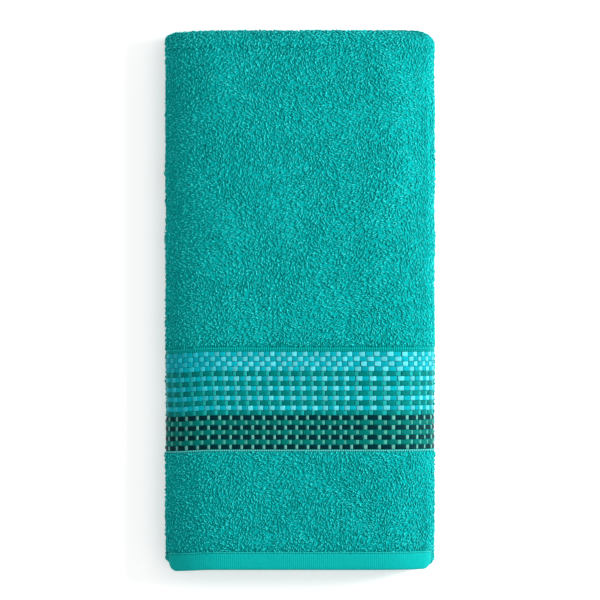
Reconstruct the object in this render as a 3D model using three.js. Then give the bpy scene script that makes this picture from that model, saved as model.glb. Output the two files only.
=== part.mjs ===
// A terry bath towel, folded for the shelf: the cloth is folded in thirds across
// its width, then in thirds along its length like a letter Z. Seen from above it
// lies face up with one hem at the front (-Y) and the upper fold at the back (+Y).
//
// Millimetres, +X to the right, +Z up. The origin is on the surface that the towel
// lies on, below the middle of the folded towel.
//
// Every piece is a patch of one cloth. A patch is a box of cloth that is bent along two
// curves in turn: the section of the side folds (across), and the panel or crosswise
// fold that it belongs to (along).

import * as THREE from 'three';
import { mergeVertices } from 'three/addons/utils/BufferGeometryUtils.js';

// Folded towel
const FOLDED_WIDTH = 234;
const FOLDED_LENGTH = 467;
const GAP = 0.3;

// Thickness of the cloth in each of its weaves, pile included
const TERRY_THICKNESS = 4.7;
const BAND_THICKNESS = 3.0;
const HEADER_THICKNESS = 2.6;
const HEM_THICKNESS = 3.2;
const SEAM_THICKNESS = 3.8;
const SIDE_HEM_THICKNESS = 2.8;

// Lengths of the woven zones, from the end of the towel inwards
const HEM_LENGTH = 14.2;
const SEAM_LENGTH = 1.8;
const TERRY_STRIP_LENGTH = 85.3;
const BORDER_LENGTH = 2.4;
const BAND_LENGTH = 84.1;
const HEADER_LENGTH = 4.8;

// Turned side hems on the two long edges of the cloth
const SIDE_HEM_WIDTH = 8;
const SIDE_SEAM_WIDTH = 1.4;

// How far each end of the cloth stops short of the fold above or below it
const FRONT_END_INSET = 1.6;
const BACK_END_INSET = 4;

// The free side edges stop short of the long folded edges
const OUTER_FLAP_INSET = 3;
const INNER_FLAP_INSET = 1.2;

// The flat weave of a hem draws in a little narrower than the terry
const HEM_DRAW_IN = 1.6;

// Rounded corners, seen from above
const CORNER_RADIUS = 9;

// Facets
const TURN_STEPS = 8;
const SIDE_TURN_STEPS = 8;
const CORNER_STEPS = 3;

const LAYER_PITCH = TERRY_THICKNESS + GAP;
const PANEL_PITCH = 3 * LAYER_PITCH;
const PANEL_THICKNESS = PANEL_PITCH - GAP;
const TURN_RADIUS = PANEL_PITCH - GAP / 2;
const HALF_WIDTH = FOLDED_WIDTH / 2;
const HALF_LENGTH = FOLDED_LENGTH / 2;

const COLOURS = {
  terry: { color: 0x00a5a0, roughness: 0.95, metalness: 0 },
  band: { color: 0x0b8f95, roughness: 0.7, metalness: 0 },
  header: { color: 0x18b0ac, roughness: 0.8, metalness: 0 },
  hem: { color: 0x0cb0ac, roughness: 0.85, metalness: 0 },
  thread: { color: 0x3fc9c4, roughness: 0.6, metalness: 0 },
};

// --- Across: the section of a panel folded in thirds -------------------------

// The middle of the cloth, as a list of stations. It starts at the free edge of the
// outer flap, which lies below, turns up round the right side into the face, and
// turns down round the left side into the inner flap between the two.
const OUTER_HEIGHT = TERRY_THICKNESS / 2;
const INNER_HEIGHT = OUTER_HEIGHT + LAYER_PITCH;
const FACE_HEIGHT = INNER_HEIGHT + LAYER_PITCH;
const RIGHT_RADIUS = LAYER_PITCH;
const LEFT_RADIUS = LAYER_PITCH / 2;
const RIGHT_TURN_X = HALF_WIDTH - RIGHT_RADIUS - TERRY_THICKNESS / 2;
const LEFT_TURN_X = -HALF_WIDTH + LEFT_RADIUS + TERRY_THICKNESS / 2;
const OUTER_EDGE_X = -HALF_WIDTH + OUTER_FLAP_INSET;
const INNER_EDGE_X = RIGHT_TURN_X - INNER_FLAP_INSET;

const OUTER_FLAP_WIDTH = RIGHT_TURN_X - OUTER_EDGE_X;
const RIGHT_TURN_WIDTH = Math.PI * RIGHT_RADIUS;
const FACE_WIDTH = RIGHT_TURN_X - LEFT_TURN_X;
const LEFT_TURN_WIDTH = Math.PI * LEFT_RADIUS;
const INNER_FLAP_WIDTH = INNER_EDGE_X - LEFT_TURN_X;

const RIGHT_TURN_START = OUTER_FLAP_WIDTH;
const FACE_START = RIGHT_TURN_START + RIGHT_TURN_WIDTH;
const LEFT_TURN_START = FACE_START + FACE_WIDTH;
const INNER_FLAP_START = LEFT_TURN_START + LEFT_TURN_WIDTH;
const CLOTH_WIDTH = INNER_FLAP_START + INNER_FLAP_WIDTH;

// Where the cloth is at distance s from the free edge of the outer flap: its place
// (x across, h above the underside of the panel) and its normal, towards the face side.
function section(s) {
  if (s <= RIGHT_TURN_START) {
    return { x: OUTER_EDGE_X + s, h: OUTER_HEIGHT, nx: 0, nh: -1 };
  }
  if (s <= FACE_START) {
    const angle = (s - RIGHT_TURN_START) / RIGHT_RADIUS;
    const nx = Math.sin(angle);
    const nh = -Math.cos(angle);
    const h = INNER_HEIGHT + RIGHT_RADIUS * nh;
    return { x: RIGHT_TURN_X + RIGHT_RADIUS * nx, h, nx, nh };
  }
  if (s <= LEFT_TURN_START) {
    return { x: RIGHT_TURN_X - (s - FACE_START), h: FACE_HEIGHT, nx: 0, nh: 1 };
  }
  if (s <= INNER_FLAP_START) {
    const angle = (s - LEFT_TURN_START) / LEFT_RADIUS;
    const nx = -Math.sin(angle);
    const nh = Math.cos(angle);
    const h = (FACE_HEIGHT + INNER_HEIGHT) / 2 + LEFT_RADIUS * nh;
    return { x: LEFT_TURN_X + LEFT_RADIUS * nx, h, nx, nh };
  }
  return { x: LEFT_TURN_X + (s - INNER_FLAP_START), h: INNER_HEIGHT, nx: 0, nh: -1 };
}

function evenly(from, to, steps) {
  return Array.from({ length: steps + 1 }, (_, i) => from + (to - from) * i / steps);
}

// Stations across a patch of cloth from s = from to s = to: its two ends, and steps
// round each turn between them.
function acrossStations(from, to) {
  const turns = [
    ...evenly(RIGHT_TURN_START, FACE_START, SIDE_TURN_STEPS),
    ...evenly(LEFT_TURN_START, INNER_FLAP_START, SIDE_TURN_STEPS),
  ];
  const inside = turns.filter((s) => s > from && s < to);
  return [from, ...inside, to];
}

// --- Along: three panels of the letter fold, and the two folds between them ---

// A panel runs straight between the folds' centre lines. The middle panel lies face
// down, so its section is upside down.
const BOTTOM_FOLD_Y = -HALF_LENGTH + TURN_RADIUS;
const TOP_FOLD_Y = HALF_LENGTH - TURN_RADIUS;
const BOTTOM_FOLD_Z = PANEL_PITCH - GAP / 2;
const TOP_FOLD_Z = 2 * PANEL_PITCH - GAP / 2;

function panel(base, up) {
  return (y, h) => ({ y, z: base + up * h });
}

// A fold is half a turn, from below its centre line (-90 degrees) to above it. sign is
// +1 for the fold that bulges towards +Y, where the outer flap is innermost.
function fold(centreY, centreZ, sign) {
  return (angle, h) => {
    const radius = sign > 0 ? h + GAP / 2 : TURN_RADIUS - h;
    const y = centreY + sign * radius * Math.cos(angle);
    return { y, z: centreZ + radius * Math.sin(angle) };
  };
}

const FRONT = panel(2 * PANEL_PITCH, 1);
const MIDDLE = panel(PANEL_PITCH + PANEL_THICKNESS, -1);
const BACK = panel(0, 1);
const TOP_FOLD = fold(TOP_FOLD_Y, TOP_FOLD_Z, 1);
const BOTTOM_FOLD = fold(BOTTOM_FOLD_Y, BOTTOM_FOLD_Z, -1);

const HALF_TURN = evenly(-Math.PI / 2, Math.PI / 2, TURN_STEPS);

// --- Rounded corners ---------------------------------------------------------

// How far a long edge draws in at this distance from the end of the towel
function cornerInset(distance) {
  const into = Math.max(0, CORNER_RADIUS - Math.max(0, distance));
  return CORNER_RADIUS - Math.sqrt(CORNER_RADIUS ** 2 - into ** 2);
}

// --- Patches -----------------------------------------------------------------

const towel = new THREE.Group();

// place says where a station along the panel or fold puts a point of the section.
function addPatch(name, look, place, from, to, along, thickness, drawIn = 0) {
  const across = acrossStations(from, to);
  const across_steps = across.length - 1;
  const along_steps = along.length - 1;
  const geometry = new THREE.BoxGeometry(1, 1, 1, across_steps, along_steps, 1);
  const position = geometry.getAttribute('position');
  for (let i = 0; i < position.count; i += 1) {
    const s = across[Math.round((position.getX(i) + 0.5) * across_steps)];
    const station = along[Math.round((position.getY(i) + 0.5) * along_steps)];
    const middle = section(s);
    const offset = position.getZ(i) * thickness;
    const x = middle.x + middle.nx * offset;
    const h = middle.h + middle.nh * offset;
    const placed = place(station, h);
    const edge = place(station, middle.h);
    const inset = drawIn + cornerInset(HALF_LENGTH - Math.abs(edge.y));
    position.setXYZ(i, x * (1 - inset / HALF_WIDTH), placed.y, placed.z);
  }
  geometry.deleteAttribute('normal');
  geometry.deleteAttribute('uv');
  const merged = mergeVertices(geometry, GAP / 100);
  if (signedVolume(merged) < 0) {
    turnInsideOut(merged);
  }
  merged.computeVertexNormals();
  const mesh = new THREE.Mesh(merged, new THREE.MeshStandardMaterial(COLOURS[look]));
  mesh.name = name;
  towel.add(mesh);
}

function signedVolume(geometry) {
  const position = geometry.getAttribute('position');
  const corners = [new THREE.Vector3(), new THREE.Vector3(), new THREE.Vector3()];
  let volume = 0;
  for (let i = 0; i < geometry.index.count; i += 3) {
    corners.forEach((corner, k) => corner.fromBufferAttribute(position, geometry.index.getX(i + k)));
    volume += corners[0].dot(corners[1].clone().cross(corners[2])) / 6;
  }
  return volume;
}

function turnInsideOut(geometry) {
  const index = geometry.index;
  for (let i = 0; i < index.count; i += 3) {
    const second = index.getX(i + 1);
    index.setX(i + 1, index.getX(i + 2));
    index.setX(i + 2, second);
  }
}

// A woven zone, across the cloth from one side seam to the other
const FIELD_FROM = SIDE_HEM_WIDTH + SIDE_SEAM_WIDTH;
const FIELD_TO = CLOTH_WIDTH - FIELD_FROM;

function addZone(name, look, place, along, thickness, drawIn) {
  addPatch(name, look, place, FIELD_FROM + GAP / 2, FIELD_TO - GAP / 2, along, thickness, drawIn);
}

// The turned hem on each long edge of the cloth, and the row of stitches that holds it
function addSideHems(where, place, along) {
  const edges = { outer: [0, 1], inner: [CLOTH_WIDTH, -1] };
  for (const [edgeName, [edge, inwards]] of Object.entries(edges)) {
    const at = (distance) => edge + inwards * distance;
    const hem = [at(0), at(SIDE_HEM_WIDTH - GAP / 2)].sort((a, b) => a - b);
    const seam = [at(SIDE_HEM_WIDTH + GAP / 2), at(FIELD_FROM - GAP / 2)].sort((a, b) => a - b);
    addPatch(`${where}_${edgeName}_side_hem`, 'hem', place, ...hem, along, SIDE_HEM_THICKNESS);
    addPatch(`${where}_${edgeName}_side_stitching`, 'thread', place, ...seam, along, SIDE_HEM_THICKNESS);
  }
}

// The zones at one end of the towel, from its end inwards. sign is +1 where inwards is +Y.
// Returns where the terry field starts.
function addEnd(where, place, end, sign) {
  const zones = [
    ['hem', 'hem', HEM_LENGTH, HEM_THICKNESS, HEM_DRAW_IN],
    ['hem_stitching', 'thread', SEAM_LENGTH, SEAM_THICKNESS, HEM_DRAW_IN],
    ['terry_strip', 'terry', TERRY_STRIP_LENGTH, TERRY_THICKNESS, 0],
    ['band_border', 'header', BORDER_LENGTH, HEADER_THICKNESS, 0],
    ['band', 'band', BAND_LENGTH, BAND_THICKNESS, 0],
    ['band_header', 'header', HEADER_LENGTH, HEADER_THICKNESS, 0],
  ];
  let reached = end;
  for (const [name, look, length, thickness, drawIn] of zones) {
    const next = reached + sign * length;
    const from = reached + sign * GAP / 2;
    const to = next - sign * GAP / 2;
    const steps = HALF_LENGTH - Math.abs(from) < CORNER_RADIUS ? CORNER_STEPS : 1;
    const along = evenly(Math.min(from, to), Math.max(from, to), steps);
    addZone(`${where}_${name}`, look, place, along, thickness, drawIn);
    reached = next;
  }
  return reached + sign * GAP / 2;
}

const FRONT_END_Y = -HALF_LENGTH + FRONT_END_INSET;
const BACK_END_Y = HALF_LENGTH - BACK_END_INSET;

function addFrontPanel() {
  const fieldStart = addEnd('front', FRONT, FRONT_END_Y, 1);
  const fieldEnd = TOP_FOLD_Y - GAP;
  addZone('front_terry_field', 'terry', FRONT, [fieldStart, fieldEnd], TERRY_THICKNESS);
  const corner = evenly(FRONT_END_Y + GAP / 2, FRONT_END_Y + CORNER_RADIUS, CORNER_STEPS);
  addSideHems('front', FRONT, [...corner, fieldEnd]);
}

function addMiddlePanel() {
  const along = [BOTTOM_FOLD_Y + GAP, TOP_FOLD_Y - GAP];
  addZone('middle_terry_field', 'terry', MIDDLE, along, TERRY_THICKNESS);
  addSideHems('middle', MIDDLE, along);
}

function addBackPanel() {
  const fieldStart = BOTTOM_FOLD_Y + GAP;
  const fieldEnd = addEnd('back', BACK, BACK_END_Y, -1);
  addZone('back_terry_field', 'terry', BACK, [fieldStart, fieldEnd], TERRY_THICKNESS);
  const corner = evenly(BACK_END_Y - CORNER_RADIUS, BACK_END_Y - GAP / 2, CORNER_STEPS);
  addSideHems('back', BACK, [fieldStart, ...corner]);
}

function addFold(where, place) {
  addZone(`${where}_terry`, 'terry', place, HALF_TURN, TERRY_THICKNESS);
  addSideHems(where, place, HALF_TURN);
}

addFrontPanel();
addFold('top_fold', TOP_FOLD);
addMiddlePanel();
addFold('bottom_fold', BOTTOM_FOLD);
addBackPanel();

export default towel;
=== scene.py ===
import math

import bmesh
import bpy
import numpy as np
from mathutils import Matrix, Vector


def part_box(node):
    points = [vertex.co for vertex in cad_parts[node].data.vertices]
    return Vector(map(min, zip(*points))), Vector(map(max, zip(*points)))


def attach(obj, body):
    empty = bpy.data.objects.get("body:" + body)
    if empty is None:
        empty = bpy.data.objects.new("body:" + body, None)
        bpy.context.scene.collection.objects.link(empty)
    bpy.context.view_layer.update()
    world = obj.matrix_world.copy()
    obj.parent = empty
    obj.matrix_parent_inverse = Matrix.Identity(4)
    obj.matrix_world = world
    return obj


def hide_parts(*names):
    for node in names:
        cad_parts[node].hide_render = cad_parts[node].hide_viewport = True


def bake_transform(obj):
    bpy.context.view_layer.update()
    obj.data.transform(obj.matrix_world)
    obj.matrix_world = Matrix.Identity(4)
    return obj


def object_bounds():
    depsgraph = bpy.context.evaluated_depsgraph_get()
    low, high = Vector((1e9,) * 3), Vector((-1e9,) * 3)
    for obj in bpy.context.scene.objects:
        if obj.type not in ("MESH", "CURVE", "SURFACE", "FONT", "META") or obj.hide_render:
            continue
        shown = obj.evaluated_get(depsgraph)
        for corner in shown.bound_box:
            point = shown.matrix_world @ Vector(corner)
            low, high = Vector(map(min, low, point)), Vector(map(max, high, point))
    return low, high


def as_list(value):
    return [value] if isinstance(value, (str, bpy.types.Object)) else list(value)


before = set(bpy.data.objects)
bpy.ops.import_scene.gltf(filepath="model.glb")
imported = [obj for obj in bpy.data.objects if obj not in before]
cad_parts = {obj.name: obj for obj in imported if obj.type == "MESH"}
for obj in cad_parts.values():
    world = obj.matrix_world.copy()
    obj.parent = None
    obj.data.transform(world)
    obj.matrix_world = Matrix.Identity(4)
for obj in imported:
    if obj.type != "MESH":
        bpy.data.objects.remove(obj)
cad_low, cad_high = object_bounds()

# ---------------------------------------------------------------------------
# The table and the light
# A plain white table top, and the camera straight above the towel. One large soft
# light stands to the right, so both long edges show their roundness.
# ---------------------------------------------------------------------------
TABLE_SIZE = 12.0
TABLE_BELOW = 0.0004
CAMERA_HEIGHT = 2.4
VIEW_WIDTH = 0.5150
VIEW_OFFSET_Y = 0.0002
SENSOR = 36.0
NEAREST, FURTHEST = 0.01, 50.0
ROOM_LIGHT = 0.55
WHITE = (1.0, 1.0, 1.0, 1.0)


def white_finish():
    """Matt white, with a little glow of its own so that it stays white in the shade."""
    material = bpy.data.materials.new("white_table")
    material.use_nodes = True
    shader = material.node_tree.nodes["Principled BSDF"]
    shader.inputs["Base Color"].default_value = (0.8, 0.8, 0.8, 1.0)
    shader.inputs["Roughness"].default_value = 0.8
    shader.inputs["Emission Color"].default_value = WHITE
    shader.inputs["Emission Strength"].default_value = 0.42
    return material


def add_table():
    bm = bmesh.new()
    bmesh.ops.create_grid(bm, x_segments=1, y_segments=1, size=TABLE_SIZE / 2)
    bmesh.ops.translate(bm, verts=bm.verts, vec=(0, 0, -TABLE_BELOW))
    mesh = bpy.data.meshes.new("table_top")
    bm.to_mesh(mesh)
    bm.free()
    table = bpy.data.objects.new("table_top", mesh)
    mesh.materials.append(white_finish())
    bpy.context.scene.collection.objects.link(table)


def add_softbox(name, place, size, watts):
    """A square white light aimed at the foot of the towel's middle."""
    light = bpy.data.lights.new(name, "AREA")
    light.shape = "SQUARE"
    light.size = size
    light.energy = watts
    lamp = bpy.data.objects.new(name, light)
    lamp.location = place
    lamp.rotation_euler = (-Vector(place)).to_track_quat("-Z", "Y").to_euler()
    bpy.context.scene.collection.objects.link(lamp)


def add_room_light(strength):
    world = bpy.data.worlds.new("soft_room")
    world.use_nodes = True
    background = world.node_tree.nodes["Background"]
    background.inputs["Color"].default_value = WHITE
    background.inputs["Strength"].default_value = strength
    bpy.context.scene.world = world


def add_camera():
    lens = bpy.data.cameras.new("camera")
    lens.sensor_width = SENSOR
    lens.lens = SENSOR * (CAMERA_HEIGHT - cad_high.z) / VIEW_WIDTH
    lens.clip_start, lens.clip_end = NEAREST, FURTHEST
    camera = bpy.data.objects.new("camera", lens)
    camera.location = (0.0, VIEW_OFFSET_Y, CAMERA_HEIGHT)
    bpy.context.scene.collection.objects.link(camera)
    bpy.context.scene.camera = camera


add_table()
add_camera()
add_room_light(ROOM_LIGHT)
add_softbox("right_softbox", place=(1.0, 0.2, 0.66), size=0.45, watts=19.0)
add_softbox("overhead_softbox", place=(0.6, 0.15, 1.8), size=1.0, watts=7.0)
bpy.context.scene.view_settings.view_transform = "Standard"

# ---------------------------------------------------------------------------
# Terry ground
# The plain cotton ground of the cloth, woven in one with its loops. It is folded in thirds
# across its width, then like a letter Z along its length, and cut where panel meets fold.
# ---------------------------------------------------------------------------
# A point of the cloth is given by s, its distance from the free edge of the outer flap, by
# v, its place along a panel or round a fold, and by its lift off the middle of the cloth.
CLEARANCE = 0.0003
TERRY = 0.0047
PITCH = TERRY + CLEARANCE
PANEL = 3 * PITCH
HALF_WIDTH = cad_high.x
HALF_LENGTH = cad_high.y
BEND = PANEL - CLEARANCE / 2
RIGHT_BEND = PITCH
LEFT_BEND = PITCH / 2
OUTER_HEIGHT = TERRY / 2
RIGHT_X = HALF_WIDTH - RIGHT_BEND - TERRY / 2
LEFT_X = -HALF_WIDTH + LEFT_BEND + TERRY / 2
OUTER_FLAP_SHORT = 0.003
INNER_FLAP_SHORT = 0.0012
OUTER_EDGE_X = -HALF_WIDTH + OUTER_FLAP_SHORT
INNER_EDGE_X = RIGHT_X - INNER_FLAP_SHORT
S_RIGHT = RIGHT_X - OUTER_EDGE_X
S_FACE = S_RIGHT + math.pi * RIGHT_BEND
S_LEFT = S_FACE + RIGHT_X - LEFT_X
S_INNER = S_LEFT + math.pi * LEFT_BEND
CLOTH_WIDTH = S_INNER + INNER_EDGE_X - LEFT_X

FRONT_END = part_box("front_hem")[0].y
BACK_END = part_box("back_hem")[1].y
FOLD_Y = HALF_LENGTH - BEND

# How the pile of layers lies
SHOULDER = 0.056
SHOULDER_DROP = 0.36
SHOULDER_POWER = 2.6
TOP_RIGHT_CORNER, TOP_LEFT_CORNER, LOWER_CORNERS = 0.013, 0.006, 0.0105
CORNER_POWER = 5
EDGE_WAVER = 0.0005
FACE_WAVER = 0.012
LEFT_SLIP = 0.0022
HEM_DRAW_IN = 0.0026
HEM_DRAW_LENGTH = 0.024


def across(s):
    """The middle of the cloth in the section of a panel, and its outward normal."""
    right = np.clip((s - S_RIGHT) / RIGHT_BEND, 0, math.pi)
    left = np.clip((s - S_LEFT) / LEFT_BEND, 0, math.pi)
    x = OUTER_EDGE_X + np.minimum(s, S_RIGHT) + RIGHT_BEND * np.sin(right)
    x = x - np.clip(s - S_FACE, 0, S_LEFT - S_FACE) - LEFT_BEND * np.sin(left)
    x = x + np.maximum(s - S_INNER, 0)
    height = OUTER_HEIGHT + RIGHT_BEND * (1 - np.cos(right)) - LEFT_BEND * (1 - np.cos(left))
    on_left = s > S_LEFT
    normal_x = np.where(on_left, -np.sin(left), np.sin(right))
    normal_h = np.where(on_left, np.cos(left), -np.cos(right))
    return x, height, normal_x, normal_h


SWELLS = 7
SWELL_WAVES = (25, 95)


def swell(a, b, seed):
    """A slow, smooth unevenness between about -1 and 1, the same on every run."""
    draw = np.random.default_rng(seed)
    total = np.zeros(np.shape(a))
    for _ in range(SWELLS):
        turn, wave = draw.uniform(0, math.pi), draw.uniform(*SWELL_WAVES)
        phase = draw.uniform(0, 6.28)
        total = total + np.sin((a * math.cos(turn) + b * math.sin(turn)) * wave + phase)
    return total / 3.2


def ease(t):
    t = np.clip(t, 0, 1)
    return t * t * (3 - 2 * t)


def corner_inset(from_end, radius):
    into = np.clip(radius - np.maximum(from_end, 0), 0, radius)
    return radius - np.sqrt(np.maximum(radius**2 - into**2, 0))


def settle(x, y, z, draw_in):
    """The pile of layers as it lies: rounded corners, low shoulders and slightly uneven."""
    top_corners = np.where(x > 0, TOP_RIGHT_CORNER, TOP_LEFT_CORNER)
    radius = np.where(y > 0, top_corners, LOWER_CORNERS)
    inset = corner_inset(HALF_LENGTH - np.abs(y), radius)
    inset = inset + draw_in - EDGE_WAVER * swell(y * 1.6, z * 2.0, 5)
    x = x - np.sign(x) * inset * np.minimum(np.abs(x) / HALF_WIDTH, 1) ** CORNER_POWER
    past = np.clip((np.abs(x) - (HALF_WIDTH - SHOULDER)) / SHOULDER, 0, 1)
    drop = SHOULDER_DROP * past**SHOULDER_POWER - FACE_WAVER * swell(x, y, 3) * (1 - past)
    y = y - LEFT_SLIP * ease((-x / HALF_WIDTH - 0.62) / 0.38) * (z / cad_high.z)
    return np.stack([x, y, np.maximum(z * (1 - drop), 0)], -1)


def panel(base, upward, end):
    """A straight panel. end is where the towel's own end is, or None."""
    def place(s, v, lift):
        x, height, normal_x, normal_h = across(s)
        z = base + upward * (height + normal_h * lift)
        near_end = 0 if end is None else ease((HEM_DRAW_LENGTH - np.abs(v - end)) / 0.007)
        return settle(x + normal_x * lift, v, z, HEM_DRAW_IN * near_end)
    return place


def fold(centre_y, centre_z, side):
    """Half a turn round the line between two panels. v runs up round the fold."""
    def place(s, v, lift):
        x, height, normal_x, normal_h = across(s)
        height = height + normal_h * lift
        radius = height + CLEARANCE / 2 if side > 0 else BEND - height
        y = centre_y + side * radius * np.cos(v / BEND)
        return settle(x + normal_x * lift, y, centre_z + radius * np.sin(v / BEND), 0)
    return place


FRONT = panel(2 * PANEL, 1, FRONT_END)
MIDDLE = panel(2 * PANEL - CLEARANCE, -1, None)
BACK = panel(0, 1, BACK_END)
TOP_FOLD = fold(FOLD_Y, 2 * PANEL - CLEARANCE / 2, 1)
BOTTOM_FOLD = fold(-FOLD_Y, PANEL - CLEARANCE / 2, -1)
FOLD_RUN = (-math.pi / 2 * BEND, math.pi / 2 * BEND)


def steps_between(low, high, step):
    return np.linspace(low, high, max(1, round((high - low) / step)) + 1)


def cloth_steps(low, high, step, turn_step=0.0016):
    """Stations across the cloth, close together on the side turns."""
    marks = [low, *[m for m in (S_RIGHT, S_FACE, S_LEFT, S_INNER) if low < m < high], high]
    parts = []
    for start, end in zip(marks, marks[1:]):
        turning = S_RIGHT <= start < S_FACE or S_LEFT <= start < S_INNER
        parts.append(steps_between(start, end, turn_step if turning else step)[:-1])
    return np.concatenate([*parts, [high]])


def level(height):
    return lambda s, v: np.full(np.shape(s), height)


def cloth_piece(name, place, s_steps, v_steps, outer, inner):
    """A closed patch of cloth: a grid for its outer face, another for its inner face, and
    a rim that joins the two. outer and inner give the lift of each face at s and v."""
    bm = bmesh.new()
    raised = bm.verts.layers.float.new("raised")
    count = (len(s_steps) - 1, len(v_steps) - 1)
    grids = []
    for _ in ("outer face", "inner face"):
        made = bmesh.ops.create_grid(bm, x_segments=count[0], y_segments=count[1], size=0.5)
        grids.append(made["verts"])
    bm.verts.index_update()
    grid = np.array([v.co[:2] for v in grids[0]])
    index = np.rint((grid + 0.5) * count).astype(int)
    s, v = np.asarray(s_steps)[index[:, 0]], np.asarray(v_steps)[index[:, 1]]
    outside = outer(s, v)
    for verts, lift in ((grids[0], outside), (grids[1], inner(s, v))):
        for vert, at in zip(verts, place(s, v, lift)):
            vert.co = at
    rim = [e for e in bm.edges if e.is_boundary]
    bmesh.ops.bridge_loops(bm, edges=rim)
    bmesh.ops.recalc_face_normals(bm, faces=bm.faces)
    if bm.calc_volume(signed=True) < 0:
        bmesh.ops.reverse_faces(bm, faces=bm.faces)
    # raised is the share of the outer face's height. The hem, seam and strip finishes use it to
    # paint highlight on high parts and shade on low ones.
    top = (outside - outside.min()) / max(np.ptp(outside), 1e-6)
    for verts, share in ((grids[0], top), (grids[1], top * 0)):
        for vert, value in zip(verts, share):
            vert[raised] = value
    for face in bm.faces:
        face.smooth = True
    mesh = bpy.data.meshes.new(name)
    bm.to_mesh(mesh)
    bm.free()
    piece = bpy.data.objects.new(name, mesh)
    bpy.context.scene.collection.objects.link(piece)
    return piece


# The panels and folds, the body that each panel moves with, and for each fold the two bodies
# beside it and a point on each
BODY = {"front": "front_panel", "middle": "middle_panel", "back": "back_panel"}
PLACE = {
    "front": FRONT,
    "middle": MIDDLE,
    "back": BACK,
    "top_fold": TOP_FOLD,
    "bottom_fold": BOTTOM_FOLD,
}
BLENDS = {
    "top_fold": ("front_panel", "middle_panel", (0, FOLD_Y, 3 * PANEL), (0, FOLD_Y, PANEL)),
    "bottom_fold": ("back_panel", "middle_panel", (0, -FOLD_Y, 0), (0, -FOLD_Y, 2 * PANEL)),
}


def fasten(piece, where, nodes=()):
    """Makes a piece move with its panel. A piece on a fold only has its place baked into its mesh,
    and does not bend with it.
    """
    if nodes:
        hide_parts(*nodes)
    if where in BLENDS:
        first, second, start, end = BLENDS[where]
        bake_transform(piece)
        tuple(start)
        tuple(end)
    else:
        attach(piece, BODY[where])


def rgb(code):
    """A colour from its six-figure code, as light."""
    parts = [int(code[i : i + 2], 16) / 255 for i in (0, 2, 4)]
    return tuple(p / 12.92 if p <= 0.04045 else ((p + 0.055) / 1.055) ** 2.4 for p in parts)


class Number:
    """A number worked out by a material, so that sums on it are written as sums."""

    def __init__(self, look, socket):
        self.look, self.socket = look, socket

    def sum(self, how, first, second):
        return self.look.node("ShaderNodeMath", {"operation": how}, {0: first, 1: second})

    def __add__(self, other):
        return self.sum("ADD", self, other)

    def __radd__(self, other):
        return self.sum("ADD", other, self)

    def __sub__(self, other):
        return self.sum("SUBTRACT", self, other)

    def __rsub__(self, other):
        return self.sum("SUBTRACT", other, self)

    def __mul__(self, other):
        return self.sum("MULTIPLY", self, other)

    def __rmul__(self, other):
        return self.sum("MULTIPLY", other, self)


SHEEN_TINT = rgb("20C8C0")
OBJECT_OUTPUT = 3
COLOUR_OUTPUT, NUMBER_OUTPUT = 0, 2
MIX_FACTOR, MIX_A, MIX_B, MIX_RESULT = 0, 6, 7, 2


class Look:
    """A cotton finish. The constant part of it is set straight on the shader."""

    def __init__(self, name, roughness, sheen, shine=0.2, tint="30D0C8"):
        self.material = bpy.data.materials.new(name)
        self.material.use_nodes = True
        self.tree = self.material.node_tree
        self.shader = self.tree.nodes["Principled BSDF"]
        self.shader.inputs["Roughness"].default_value = roughness
        self.shader.inputs["Sheen Weight"].default_value = sheen
        self.shader.inputs["Sheen Roughness"].default_value = 0.5
        self.shader.inputs["Sheen Tint"].default_value = (*SHEEN_TINT, 1.0)
        self.shader.inputs["Specular Tint"].default_value = (*rgb(tint), 1.0)
        self.shader.inputs["Specular IOR Level"].default_value = shine

    def node(self, kind, settings, values, output=0):
        node = self.tree.nodes.new(kind)
        for key, value in settings.items():
            setattr(node, key, value)
        for key, value in values.items():
            self.feed(node.inputs[key], value)
        return Number(self, node.outputs[output])

    def feed(self, socket, value):
        if isinstance(value, Number):
            self.tree.links.new(value.socket, socket)
        else:
            socket.default_value = (*value, 1.0) if isinstance(value, tuple) else value

    def set(self, name, value):
        self.feed(self.shader.inputs[name], value)

    def noise(self, where, scale, detail=3.0):
        values = {"Vector": where, "Scale": scale, "Detail": detail}
        return self.node("ShaderNodeTexNoise", {}, values)

    def object_place(self):
        return self.node("ShaderNodeTexCoord", {}, {}, OBJECT_OUTPUT)

    def attribute(self, name, output=NUMBER_OUTPUT):
        return self.node("ShaderNodeAttribute", {"attribute_name": name}, {}, output)

    def mix(self, share, first, second):
        """The first colour where share is 0 and the second where it is 1."""
        values = {MIX_FACTOR: share, MIX_A: first, MIX_B: second}
        return self.node("ShaderNodeMix", {"data_type": "RGBA"}, values, MIX_RESULT)

    def bump(self, height, strength, distance):
        values = {"Height": height, "Strength": strength, "Distance": distance}
        self.set("Normal", self.node("ShaderNodeBump", {}, values))


TEAL_DEEP = rgb("00817F")
TEAL_MID = rgb("00B8B6")
TEAL_BRIGHT = rgb("3EE2DF")


def ground_look():
    look = Look("terry_ground", 0.95, 0.15)
    where = look.object_place()
    grain = look.noise(where, 900.0)
    slow = look.noise(where, 25.0)
    look.set("Base Color", look.mix(grain * 0.7 + slow * 0.3, TEAL_DEEP, TEAL_MID))
    look.bump(grain, 0.8, 0.0006)
    return look.material


GROUND = ground_look()

# The ground lies between the two side hems
SIDE_HEM = 0.0094
GROUND_THICKNESS = 0.0020
GROUND_STEP = 0.0065
FIELD = (SIDE_HEM, CLOTH_WIDTH - SIDE_HEM)


def run_of(node):
    """From where to where a straight node runs along the towel, gaps closed."""
    low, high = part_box(node)
    return low.y - CLEARANCE / 2, high.y + CLEARANCE / 2


# Each zone of cloth, by the name of its ground: the ground, its run and what goes with it
sheets = {}


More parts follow.
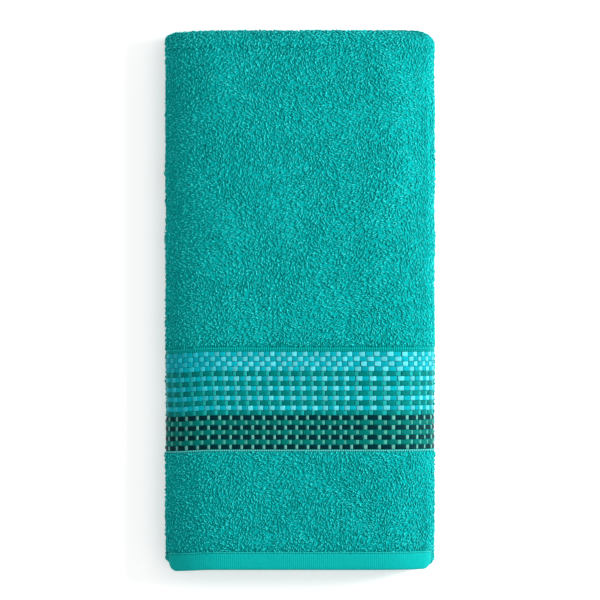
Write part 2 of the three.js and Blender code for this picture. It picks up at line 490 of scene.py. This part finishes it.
def add_ground(name, where, node, run):
    s_steps = cloth_steps(*FIELD, GROUND_STEP)
    step = BEND / 8 if where in BLENDS else GROUND_STEP
    faces = level(GROUND_THICKNESS / 2), level(-GROUND_THICKNESS / 2)
    piece = cloth_piece(name, PLACE[where], s_steps, steps_between(*run, step), *faces)
    piece.data.materials.append(GROUND)
    fasten(piece, where, [node])
    sheets[name] = (piece, run, [])


for zone in ("front_field", "front_strip", "middle_field", "back_field", "back_strip"):
    where, kind = zone.split("_")
    node = f"{where}_terry_{kind}"
    add_ground(f"{zone}_ground", where, node, run_of(node))
for where in BLENDS:
    add_ground(f"{where}_ground", where, f"{where}_terry", FOLD_RUN)

# ---------------------------------------------------------------------------
# Terry loops
# Uncut loops of soft yarn that stand on the ground and lean over in slow swirls. Each is
# half a ring of yarn, bent over, with its two feet in the ground.
# ---------------------------------------------------------------------------
YARN_RADIUS = 0.00052
LOOP_WIDTH = 0.0021
LOOP_HEIGHT = 0.0019
LOOP_LEAN = 0.75
FOOT_DEPTH = 0.0002


def pile_look():
    look = Look("terry_loops", 0.85, 0.25)
    where = look.object_place()
    tone, rise = look.attribute("tone"), look.attribute("rise")
    # Painted shade: rise darkens each loop towards its feet and lightens its tip, standing for the
    # shade down in the pile. Tone and the noise vary at random.
    share = tone * 0.45 + rise * 0.55 + look.noise(where, 30.0) * 0.25 - 0.15
    low = look.mix(share, TEAL_DEEP, TEAL_MID)
    look.set("Base Color", look.mix(share * share * 0.75, low, TEAL_BRIGHT))
    look.bump(look.noise(where, 1500.0, 2.0), 0.5, 0.0002)
    return look.material


PILE = pile_look()


def yarn_loop(sides, steps):
    """One leaning loop over the origin, as corners and faces."""
    bm = bmesh.new()
    bmesh.ops.create_circle(bm, segments=sides, radius=YARN_RADIUS)
    bmesh.ops.translate(bm, verts=bm.verts, vec=(LOOP_WIDTH / 2, 0, 0))
    axis = {"axis": (0, -1, 0), "cent": (0, 0, 0), "angle": math.pi, "steps": steps}
    bmesh.ops.spin(bm, geom=[*bm.verts, *bm.edges], **axis)
    bmesh.ops.holes_fill(bm, edges=bm.edges, sides=sides)
    bmesh.ops.recalc_face_normals(bm, faces=bm.faces)
    tall = LOOP_HEIGHT / (LOOP_WIDTH / 2 + YARN_RADIUS)
    bmesh.ops.scale(bm, verts=bm.verts, vec=(1, 1, tall))
    lean = Matrix(((1, 0, LOOP_LEAN, 0), (0, 1, 0, 0), (0, 0, 1, 0), (0, 0, 0, 1)))
    bmesh.ops.transform(bm, matrix=lean, verts=bm.verts)
    bmesh.ops.triangulate(bm, faces=[f for f in bm.faces if len(f.verts) > 4])
    bm.verts.index_update()
    corners = np.array([v.co for v in bm.verts])
    faces = [[v.index for v in f.verts] for f in bm.faces]
    bm.free()
    return corners, faces


def mesh_of_copies(name, points, faces, attributes):
    """One mesh of many copies of a small shape: points is copies x corners x 3."""
    copies, corners = points.shape[:2]
    sizes = np.array([len(f) for f in faces])
    order = np.concatenate(faces)
    mesh = bpy.data.meshes.new(name)
    mesh.vertices.add(copies * corners)
    mesh.loops.add(copies * len(order))
    mesh.polygons.add(copies * len(faces))
    mesh.vertices.foreach_set("co", points.reshape(-1).astype(np.float32))
    shift = np.arange(copies)[:, None]
    mesh.loops.foreach_set("vertex_index", (order + shift * corners).reshape(-1).astype(np.int32))
    starts = np.concatenate([[0], np.cumsum(sizes)[:-1]]) + shift * len(order)
    mesh.polygons.foreach_set("loop_start", starts.reshape(-1).astype(np.int32))
    mesh.update(calc_edges=True)
    mesh.polygons.foreach_set("use_smooth", np.ones(len(mesh.polygons), bool))
    for key, values in attributes.items():
        if values.ndim == 3:
            made = mesh.attributes.new(key, "FLOAT_COLOR", "POINT")
            colours = np.concatenate([values, np.ones((*values.shape[:2], 1))], -1)
            made.data.foreach_set("color", colours.reshape(-1).astype(np.float32))
        else:
            made = mesh.attributes.new(key, "FLOAT", "POINT")
            made.data.foreach_set("value", values.reshape(-1).astype(np.float32))
    map_copies(mesh, copies, sizes)
    return mesh


def map_copies(mesh, copies, sizes):
    """A UV map that gives each copy a square of its own, and each of its faces a part of it."""
    squares = math.ceil(math.sqrt(copies))
    cells = math.ceil(math.sqrt(len(sizes)))
    ring = {3: [(0, 0), (1, 0), (0, 1)], 4: [(0, 0), (1, 0), (1, 1), (0, 1)]}
    corner, cell = [], []
    for k, size in enumerate(sizes):
        corner += ring[int(size)]
        cell += [(k % cells, k // cells)] * int(size)
    inside = (np.array(cell) + 0.08 + 0.84 * np.array(corner)) / cells
    copy = np.arange(copies)
    at = np.stack([copy % squares, copy // squares], 1)[:, None, :]
    uv = (at + 0.04 + 0.92 * inside[None]) / squares
    layer = mesh.uv_layers.new(name="OFBake")
    layer.uv.foreach_set("vector", uv.reshape(-1).astype(np.float32))


def fullness():
    """Stations in s, and the length of outer cloth up to each. The outside of a side turn is
    longer than its middle, and the shoulders beside it take up some cloth too."""
    s = np.linspace(0, CLOTH_WIDTH, 6000)
    extra = ((s > S_RIGHT) & (s < S_FACE)) * 0.6 + ((s > S_LEFT) & (s < S_INNER)) * 0.9
    on_face = (s > S_FACE) & (s < S_LEFT)
    extra = extra + 0.75 * on_face * np.clip(1 - (s - S_FACE) / 0.018, 0, 1) ** 1.3
    extra = extra + 0.5 * on_face * np.clip(1 - (S_LEFT - s) / 0.014, 0, 1)
    return s, np.concatenate([[0], np.cumsum((1 + extra)[:-1] * np.diff(s))]), 1 / (1 + extra)


STATION, OUTER_LENGTH, NARROW = fullness()


def copies_on_cloth(where, shape, s, v, size, turn, height, foot):
    """Copies of a small shape set on the cloth at s and v, each turned and sized."""
    corners = shape[0]
    along, aside = corners[None, :, 0] * size[0][:, None], corners[None, :, 1] * size[1][:, None]
    cos, sin = np.cos(turn)[:, None], np.sin(turn)[:, None]
    narrow = np.interp(s, STATION, NARROW)[:, None]
    at_s = s[:, None] + (along * cos - aside * sin) * narrow
    lift = foot + corners[None, :, 2] * height[:, None]
    return PLACE[where](at_s, v[:, None] + along * sin + aside * cos, lift)


def add_copies(name, where, shape, points, attributes, look):
    mesh = mesh_of_copies(name, points, shape[1], attributes)
    piece = bpy.data.objects.new(name, mesh)
    bpy.context.scene.collection.objects.link(piece)
    mesh.materials.append(look)
    fasten(piece, where)
    return piece


def add_pile(name, where, patches, spacing, size, shape, seed):
    """Loops over patches of the outer face, in jittered rows. A patch is a run in s and v."""
    draw = np.random.default_rng(seed)
    spots = []
    for s_run, v_run in patches:
        low, high = np.interp(s_run, STATION, OUTER_LENGTH)
        columns = max(1, round((high - low) / spacing))
        rows = max(1, round((v_run[1] - v_run[0]) / spacing))
        i, j = (grid.ravel() for grid in np.meshgrid(np.arange(columns), np.arange(rows)))
        jitter = draw.uniform(-0.42, 0.42, (2, i.size))
        run = low + (i + 0.5 + 0.5 * (j % 2 - 0.5) + jitter[0]) / columns * (high - low)
        along = v_run[0] + (j + 0.5 + jitter[1]) / rows * (v_run[1] - v_run[0])
        spots.append((np.interp(run, OUTER_LENGTH, STATION), along))
    s, v = (np.concatenate(values) for values in zip(*spots))
    turn = swell(s * 1.1, v * 1.1, 11) * 1.9 + 0.8 + draw.normal(0, 0.55, s.size)
    turn = turn + math.pi * draw.integers(0, 2, s.size)
    scale = size * draw.uniform(0.8, 1.2, s.size)
    height = scale * draw.uniform(0.65, 1.15, s.size)
    foot = GROUND_THICKNESS / 2 - FOOT_DEPTH
    points = copies_on_cloth(where, shape, s, v, (scale, scale), turn, height, foot)
    # Height up each loop, 0 at the feet and 1 at the top: the pile's painted shade at the feet and
    # painted light at the tips follow it.
    rise = np.broadcast_to(shape[0][:, 2] / shape[0][:, 2].max(), points.shape[:2])
    tone = np.broadcast_to(draw.uniform(0, 1, s.size)[:, None], points.shape[:2])
    return add_copies(name, where, shape, points, {"tone": tone, "rise": rise}, PILE)


FINE_LOOP = yarn_loop(3, 4)
SIDE_LOOP = yarn_loop(3, 3)
PLAIN_LOOP = yarn_loop(3, 2)

# Spacing of the loops, and their size next to a loop on the face
SEEN, HIDDEN, PRESSED = 0.0021, 0.0035, 0.0026
HIDDEN_SIZE, PRESSED_SIZE = 1.35, 0.6
FIELD_CUTS = 3

# Runs across the cloth, as seen from outside the folded towel
OUTER_FACE = (S_RIGHT - 0.003, S_INNER)
UNDER_FACE = (SIDE_HEM, S_RIGHT)
RIGHT_SIDE = (S_RIGHT - 0.004, S_FACE + 0.006)
LEFT_SIDE = (S_LEFT - 0.006, S_INNER)
BETWEEN = (S_FACE + 0.006, S_LEFT - 0.006)


def faces_of(where):
    """The runs across the cloth that can be seen, and those that lie between layers."""
    if where in ("middle", "back"):
        return [RIGHT_SIDE, LEFT_SIDE], [BETWEEN, UNDER_FACE]
    if where == "bottom_fold":
        return [UNDER_FACE, RIGHT_SIDE, LEFT_SIDE], [BETWEEN]
    return [OUTER_FACE], [UNDER_FACE]


def add_piles(sheet, run):
    where = sheet.removesuffix("_ground").removesuffix("_field").removesuffix("_strip")
    label = sheet.replace("ground", "loops")
    seed = 7 * abs(len(sheet) + round(run[0] * 1000))
    seen, hidden = faces_of(where)
    shape = FINE_LOOP if where == "front" else SIDE_LOOP
    cuts = FIELD_CUTS if sheet == "front_field_ground" else 1
    marks = np.linspace(*run, cuts + 1)
    piles = []
    for k in range(cuts):
        patches = [(s_run, (marks[k], marks[k + 1])) for s_run in seen]
        name = f"{label}_outer_{k + 1}"
        piles.append(add_pile(name, where, patches, SEEN, 1.0, shape, seed + k))
    # In the crease of a fold the loops are pressed short.
    spacing, size = (PRESSED, PRESSED_SIZE) if where in BLENDS else (HIDDEN, HIDDEN_SIZE)
    for k, s_run in enumerate(hidden):
        name, patches = f"{label}_under_{k + 1}", [(s_run, run)]
        piles.append(add_pile(name, where, patches, spacing, size, PLAIN_LOOP, seed + 9 + k))
    return piles


for sheet, (_, run, pieces) in sheets.items():
    pieces.extend(add_piles(sheet, run))

# ---------------------------------------------------------------------------
# Checked bands
# A flat dobby band near each end: a firm ground, and on it rows of small floats of glossy
# yarn, woven in. From the field out: brick-laid pale and cyan checks, green blocks between
# rows of pale checks, and near-black blocks between green rows.
# ---------------------------------------------------------------------------
BAND_GROUND = 0.0018
BAND_FOOT = -0.0001
CHECK_PITCH = 0.00947
CHECK_ROWS = 20
BRICK_ROWS, GREEN_ROWS_END = 4, 13
COLUMN_START = 0.00043
WIDE_FROM, WIDE_TO, WIDE_SHARE = 0.040, 0.097, 0.27
BAND_STEP = 0.004
FLOAT_HEIGHT = 0.0011
FLOAT_BEVEL = 0.3
ROW_WAVER = 0.00008
COLUMN_WAVER = 0.015
SLANT = 0.045
YARNS = {
    "pale": rgb("66DCE6"),
    "cyan": rgb("02B4C2"),
    "green": rgb("00807A"),
    "mist": rgb("1CB2AC"),
    "night": rgb("001E26"),
    "bone": rgb("70BCAE"),
    "leaf": rgb("00766B"),
    "dash": rgb("4FB4A0"),
}


def check_row(row):
    """The two floats that repeat along a row: yarn, centre to the right of the column's
    line and width, both in pitches, and height."""
    if row < BRICK_ROWS:
        centre = (0.43, 0.0, 0.5, 0.1)[row]
        return [("pale", centre, 0.44, 1.0), ("cyan", centre + 0.5, 0.54, 0.8)]
    if row < GREEN_ROWS_END:
        if row % 2:
            return [("pale", 0.16, 0.47, 1.0), ("cyan", 0.66, 0.51, 0.8)]
        return [("green", 0.5, 0.66, 0.95), ("mist", 0.0, 0.32, 0.7)]
    if row % 2:
        return [("night", 0.16, 0.72, 1.0), ("bone", 0.66, 0.24, 0.75)]
    return [("leaf", 0.57, 0.72, 0.85), ("dash", 0.07, 0.25, 0.7)]


def column_lines(low, high):
    """The number of the column of checks at the two ends and at each station."""
    x = RIGHT_X - (STATION - S_FACE)
    wide = ease((x - WIDE_FROM) / 0.012) * ease((WIDE_TO - x) / 0.010)
    count = np.cumsum(np.gradient(OUTER_LENGTH) / (CHECK_PITCH * (1 + WIDE_SHARE * wide)))
    count = count - np.interp(COLUMN_START, x[::-1], count[::-1])
    return np.interp(low, STATION, count), np.interp(high, STATION, count), count


def float_pad(segments):
    """A float of yarn, one unit wide and long: a pad with a rounded top."""
    bm = bmesh.new()
    bmesh.ops.create_cube(bm, size=1.0)
    bmesh.ops.translate(bm, verts=bm.verts, vec=(0, 0, 0.5))
    top = [e for e in bm.edges if min(v.co.z for v in e.verts) > 0.9]
    how = {"affect": "EDGES", "segments": segments, "profile": 0.5, "material": -1}
    bmesh.ops.bevel(bm, geom=top, offset=FLOAT_BEVEL, **how)
    bmesh.ops.recalc_face_normals(bm, faces=bm.faces)
    bmesh.ops.triangulate(bm, faces=[f for f in bm.faces if len(f.verts) > 4])
    bm.verts.index_update()
    shape = np.array([v.co for v in bm.verts]), [[v.index for v in f.verts] for f in bm.faces]
    bm.free()
    return shape


def float_look():
    look = Look("dobby_floats", 0.42, 0.0, 0.26, "4CD2D6")
    where = look.object_place()
    # The yarn attribute is each float's yarn colour, with painted shade on the pale floats towards
    # the left side.
    yarn, tone = look.attribute("yarn", COLOUR_OUTPUT), look.attribute("tone")
    worn = tone * 0.22 + look.noise(where, 700.0) * 0.4
    look.set("Base Color", look.mix(worn, yarn, rgb("002024")))
    look.set("Roughness", 0.36 + look.noise(where, 400.0) * 0.2)
    threads = {"Vector": where, "Scale": 420.0, "Distortion": 0.6}
    thread = look.node("ShaderNodeTexWave", {"bands_direction": "Y"}, threads)
    look.bump(thread, 0.55, 0.00018)
    return look.material


def band_ground_look():
    look = Look("dobby_ground", 0.75, 0.1)
    where = look.object_place()
    grain = look.noise(where, 800.0)
    look.set("Base Color", look.mix(grain, rgb("006E6C"), rgb("009A98")))
    look.bump(grain, 0.6, 0.0002)
    return look.material


FLOATS, BAND_LOOK = float_look(), band_ground_look()


def add_band_ground(end, run):
    node = f"{end}_band"
    faces = level(BAND_FOOT), level(BAND_FOOT - BAND_GROUND)
    steps = cloth_steps(*FIELD, BAND_STEP), steps_between(*run, BAND_STEP)
    piece = cloth_piece(node + "_ground", PLACE[end], *steps, *faces)
    piece.data.materials.append(BAND_LOOK)
    fasten(piece, end, [node])
    return piece


def check_colours(yarn, s):
    """Painted shade: the pale yarn's colour is shifted towards cyan on the left side, where less
    light strikes the glossy floats.
    """
    # The share of painted shade on the pale floats, growing towards the left side.
    painted_shade = 0.8 * ease((-across(s)[0] - 0.045) / 0.05)[:, None] * (yarn == "pale")
    return np.array(YARNS[yarn]) * (1 - painted_shade) + np.array(YARNS["cyan"]) * 1.15 * painted_shade


def check_floats(row, v, row_height, draw):
    """Places, sizes and colours of one row of floats, whose middle is at v."""
    low, high, count = column_lines(*FIELD)
    columns = np.arange(math.floor(low) - 1, math.ceil(high) + 2)
    slant = SLANT * min(max(row - BRICK_ROWS, 0), 8) * (row < GREEN_ROWS_END)
    for yarn, centre, width, height in check_row(row):
        at = columns - centre
        at = at[(at > low + width / 2) & (at < high - width / 2)]
        s = np.interp(at, count, STATION)
        over = slant * ease((s - S_FACE) / (S_LEFT - S_FACE))
        s = np.interp(at - over + draw.normal(0, COLUMN_WAVER, at.size), count, STATION)
        pitch = 1 / np.interp(s, STATION, np.gradient(count) / np.gradient(OUTER_LENGTH))
        middle = v + draw.normal(0, ROW_WAVER, s.size)
        wide = width * pitch * draw.uniform(0.94, 1.05, s.size)
        tall = np.full(s.size, row_height * (0.8 if yarn in ("bone", "dash") else 0.93))
        yield s, middle, wide, tall, np.full(s.size, height), check_colours(yarn, s)


def add_band(end, segments, seed):
    run = run_of(f"{end}_band")
    toward = 1 if end == "front" else -1
    field_edge = run[1] if end == "front" else run[0]
    ground = add_band_ground(end, run)
    draw = np.random.default_rng(seed)
    row_height = (run[1] - run[0]) / CHECK_ROWS
    rows = []
    for row in range(CHECK_ROWS):
        v = field_edge - toward * (row + 0.5) * row_height
        rows.extend(check_floats(row, v, row_height, draw))
    s, v, wide, tall, height, colour = (np.concatenate(values) for values in zip(*rows))
    shape = float_pad(segments)
    place = s, v, (wide, tall), s * 0, height * FLOAT_HEIGHT
    points = copies_on_cloth(end, shape, *place, BAND_FOOT - 0.0001)
    tone = np.broadcast_to(draw.uniform(0, 1, s.size)[:, None], points.shape[:2])
    # colour holds the yarn colours, with painted shade on the pale floats towards the left side.
    colour = np.broadcast_to(colour[:, None], (*points.shape[:2], 3))
    tints = {"tone": tone, "yarn": colour}
    floats = add_copies(f"{end}_band_floats", end, shape, points, tints, FLOATS)
    sheets[f"{end}_band_ground"] = (ground, run, [floats])


add_band("front", 2, 61)
add_band("back", 1, 62)

# ---------------------------------------------------------------------------
# Headers and borders
# Narrow plain-woven strips on each side of a band, with no loops. Each has one thick
# cord along the edge that meets the band, drawn lighter the higher it stands, a painted highlight,
# palest on the border side.
# ---------------------------------------------------------------------------
STRIP_LIFT = 0.0006
STRIP_DEPTH = 0.0011
STRIP_STEP = 0.0003
CORD_LIFT = 0.0009


def strip_look(name, low, high):
    look = Look(name, 0.7, 0.15)
    where = look.object_place()
    grain = look.noise(where, 600.0)
    raised = look.attribute("raised")
    # Painted highlight and shade: the weave is drawn lighter where it stands higher, on the cord's
    # top, and darker on the flat. Grain varies at random.
    look.set("Base Color", look.mix(raised * 0.85 + grain * 0.25 - 0.05, low, high))
    threads = {"Vector": where, "Scale": 200.0, "Distortion": 1.2}
    thread = look.node("ShaderNodeTexWave", {"bands_direction": "X"}, threads)
    look.bump(thread, 1.0, 0.0006)
    return look.material


# Each strip's colours, from its low weave to the painted highlight on its cord's top.
HEADER_LOOK = strip_look("header_weave", rgb("008D89"), rgb("08A29E"))
BORDER_LOOK = strip_look("border_weave", rgb("008C88"), rgb("58BEB8"))


def add_strip(end, kind, cord_middle, cord_width, look):
    """A header or border. The middle of its cord is measured from the band's edge."""
    node = f"{end}_band_{kind}"
    run = run_of(node)
    band = run_of(f"{end}_band")
    edge = band[1] if abs(run[0] - band[1]) < 0.001 else band[0]

    def outer(s, v):
        off = (np.abs(v - edge) - cord_middle) / (cord_width / 2)
        cord = np.sqrt(np.clip(1 - off**2, 0, 1))
        return STRIP_LIFT + CORD_LIFT * cord

    steps = cloth_steps(*FIELD, BAND_STEP), steps_between(*run, STRIP_STEP)
    piece = cloth_piece(node + "_weave", PLACE[end], *steps, outer, level(-STRIP_DEPTH))
    piece.data.materials.append(look)
    fasten(piece, end, [node])
    sheets[f"{end}_band_ground"][2].append(piece)


for end in ("front", "back"):
    add_strip(end, "header", 0.0026, 0.0018, HEADER_LOOK)
    add_strip(end, "border", 0.0009, 0.0014, BORDER_LOOK)

# ---------------------------------------------------------------------------
# Hems
# The two ends and the two long edges of the cloth are turned under twice and stitched
# down. The end hems have no loops and are finely ribbed, and the side hems are narrow.
# ---------------------------------------------------------------------------
END_HEM_THICKNESS = 0.0032
SIDE_HEM_THICKNESS = 0.0028
SIDE_HEM_WIDTH = 0.008
RIB = 0.0017
RIB_HEIGHT = 0.00016
ROUND_END = (0, 0.0006, 0.0014, 0.0024, 0.004, 0.008, 0.012)
ROUND_SIDE = (0, 0.08, 0.2, 0.4, 0.7, 1.0)
EDGE_STEP = 0.006


def hem_look():
    look = Look("hem_weave", 0.8, 0.2)
    where = look.object_place()
    raised = look.attribute("raised")
    grain = look.noise(where, 500.0)
    # Painted shade: raised draws the ribs' tops lighter and the grooves and rounded free edges
    # darker. Grain varies at random.
    look.set("Base Color", look.mix(raised * 0.45 + grain * 0.5, rgb("008682"), rgb("10ADA8")))
    look.bump(grain, 0.5, 0.0002)
    return look.material


HEM_LOOK = hem_look()


def rounded(thickness, edge_distance, radius):
    """Half the thickness of a hem, rounded off towards its free edge."""
    into = np.clip(1 - np.maximum(edge_distance, 0) / radius, 0, 1)
    return thickness / 2 * (0.25 + 0.75 * np.sqrt(1 - into**2))


def add_end_hem(end, free_end):
    node = f"{end}_hem"
    run = run_of(node)

    def outer(s, v):
        ribs = RIB_HEIGHT * np.sin(s * 2 * math.pi / RIB) + 0.0001 * swell(s * 6, v * 6, 8)
        return ribs - inner(s, v)

    def inner(s, v):
        return -rounded(END_HEM_THICKNESS, np.abs(v - free_end), 0.003)

    if end == "front":
        v_steps = [*(free_end + d for d in ROUND_END), run[1]]
    else:
        v_steps = [run[0], *(free_end - d for d in reversed(ROUND_END))]
    s_steps = cloth_steps(0, CLOTH_WIDTH, RIB / 4, RIB / 4)
    piece = cloth_piece(node + "_fold", PLACE[end], s_steps, v_steps, outer, inner)
    piece.data.materials.append(HEM_LOOK)
    fasten(piece, end, [node])
    sheets[f"{end}_strip_ground"][2].append(piece)


add_end_hem("front", FRONT_END)
add_end_hem("back", BACK_END)


def field_sheet(where):
    """The pieces that go with a panel's long field, or with a fold."""
    return sheets[f"{where}_ground" if where in BLENDS else f"{where}_field_ground"][2]


def edge_step(where):
    return BEND / 10 if where in BLENDS else EDGE_STEP


def add_side_hem(where, side, run):
    node = f"{where}_{side}_side_hem"
    free, inward = (0, 1) if side == "outer" else (CLOTH_WIDTH, -1)

    def outer(s, v):
        return rounded(SIDE_HEM_THICKNESS, np.abs(s - free), 0.0025)

    def inner(s, v):
        return -outer(s, v)

    s_steps = np.sort(free + inward * np.array(ROUND_SIDE) * SIDE_HEM_WIDTH)
    v_steps = steps_between(*run, edge_step(where))
    piece = cloth_piece(node + "_fold", PLACE[where], s_steps, v_steps, outer, inner)
    piece.data.materials.append(HEM_LOOK)
    fasten(piece, where, [node])
    field_sheet(where).append(piece)


def side_run(where):
    """A fold's edge bends with it; a panel's edge runs on to the stitching of its end hem."""
    return FOLD_RUN if where in BLENDS else run_of(f"{where}_outer_side_hem")


for where in PLACE:
    for side in ("outer", "inner"):
        add_side_hem(where, side, side_run(where))

# ---------------------------------------------------------------------------
# Seams
# Each hem is held down by one row of lockstitches in a thicker, shinier cotton thread. The
# cloth that they pull together stands up beside the loops as a low ridge.
# ---------------------------------------------------------------------------
STITCH_PITCH = 0.0031
STITCH_LENGTH = 0.0025
THREAD_RADIUS = 0.00036
END_SEAM_LIFT, SIDE_SEAM_LIFT = 0.0019, 0.0016
SEAM_STEP = 0.0003


def seam_look():
    look = Look("seam_weave", 0.75, 0.2)
    where = look.object_place()
    raised = look.attribute("raised")
    grain = look.noise(where, 650.0)
    # Painted highlight: raised draws the top of the ridge lighter than its sides. Grain varies at
    # random.
    look.set("Base Color", look.mix(raised * 0.5 + grain * 0.45, rgb("00807C"), rgb("18ACA6")))
    look.bump(grain, 0.7, 0.0003)
    return look.material


def thread_look():
    look = Look("sewing_thread", 0.45, 0.1, 0.4)
    where = look.object_place()
    tone = look.attribute("tone")
    worn = tone * 0.6 + look.noise(where, 900.0) * 0.3
    look.set("Base Color", look.mix(worn, rgb("10A39D"), rgb("34BDB6")))
    look.bump(look.noise(where, 2500.0), 0.4, 0.0001)
    return look.material


SEAM_LOOK, THREAD_LOOK = seam_look(), thread_look()


def stitch():
    """One stitch lying along X, with ends that dive into the cloth."""
    bm = bmesh.new()
    bmesh.ops.create_uvsphere(bm, u_segments=6, v_segments=4, radius=1.0)
    bmesh.ops.rotate(bm, verts=bm.verts, matrix=Matrix.Rotation(math.pi / 2, 3, "Y"))
    bm.verts.index_update()
    corners = np.array([v.co for v in bm.verts])
    faces = [[v.index for v in f.verts] for f in bm.faces]
    bm.free()
    return corners, faces


STITCH = stitch()


def add_seam(where, node, s_run, v_run, lift, along_s, seed):
    """A low ridge over the hem's inner edge, and stitches sunk in the top of it."""
    middle_s, middle_v = sum(s_run) / 2, sum(v_run) / 2
    half = (v_run[1] - v_run[0]) / 2 if along_s else (s_run[1] - s_run[0]) / 2

    def outer(s, v):
        off = (v - middle_v if along_s else s - middle_s) / half
        return lift * (0.7 + 0.3 * np.sqrt(np.clip(1 - off**2, 0, 1)))

    s_step, turn_step, v_step = SEAM_STEP, SEAM_STEP, edge_step(where)
    if along_s:
        s_step, turn_step, v_step = 0.003, 0.0016, SEAM_STEP
    steps = cloth_steps(*s_run, s_step, turn_step), steps_between(*v_run, v_step)
    ridge = cloth_piece(node + "_ridge", PLACE[where], *steps, outer, level(-lift * 0.8))
    ridge.data.materials.append(SEAM_LOOK)
    fasten(ridge, where, [node])
    if along_s:
        low, high = np.interp(s_run, STATION, OUTER_LENGTH)
        length = np.arange(low + STITCH_PITCH / 2, high, STITCH_PITCH)
        s = np.interp(length, OUTER_LENGTH, STATION)
        v, turn = np.full(s.size, middle_v), np.zeros(s.size)
    else:
        v = np.arange(v_run[0] + STITCH_PITCH / 2, v_run[1], STITCH_PITCH)
        s, turn = np.full(v.size, middle_s), np.full(v.size, math.pi / 2)
    draw = np.random.default_rng(seed)
    size = np.full(s.size, STITCH_LENGTH / 2), np.full(s.size, THREAD_RADIUS)
    points = copies_on_cloth(where, STITCH, s, v, size, turn, np.full(s.size, THREAD_RADIUS), lift)
    tone = np.broadcast_to(draw.uniform(0, 1, s.size)[:, None], points.shape[:2])
    name, tints = node + "_stitches", {"tone": tone}
    return [ridge, add_copies(name, where, STITCH, points, tints, THREAD_LOOK)]


for end in ("front", "back"):
    node = f"{end}_hem_stitching"
    pieces = add_seam(end, node, (0, CLOTH_WIDTH), run_of(node), END_SEAM_LIFT, True, 70)
    sheets[f"{end}_strip_ground"][2].extend(pieces)

SEAM_RUNS = {
    "outer": (SIDE_HEM_WIDTH, SIDE_HEM),
    "inner": (CLOTH_WIDTH - SIDE_HEM, CLOTH_WIDTH - SIDE_HEM_WIDTH),
}
for where in PLACE:
    for side, s_run in SEAM_RUNS.items():
        node = f"{where}_{side}_side_stitching"
        pieces = add_seam(where, node, s_run, side_run(where), SIDE_SEAM_LIFT, False, 80)
        field_sheet(where).extend(pieces)

# ---------------------------------------------------------------------------
# The cloth as a sheet
# Each zone of ground, laid flat, is as wide as the cloth between its side hems and as long
# as its own part of the towel. Round a fold, the length is the mean of the three layers. The
# loop below only works these out and does nothing more with them.
# ---------------------------------------------------------------------------
FOLD_LENGTH = math.pi * PANEL / 2
for name, (piece, run, pieces) in sheets.items():
    length = FOLD_LENGTH if name.removesuffix("_ground") in BLENDS else run[1] - run[0]
    FIELD[1] - FIELD[0]
    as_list(pieces)
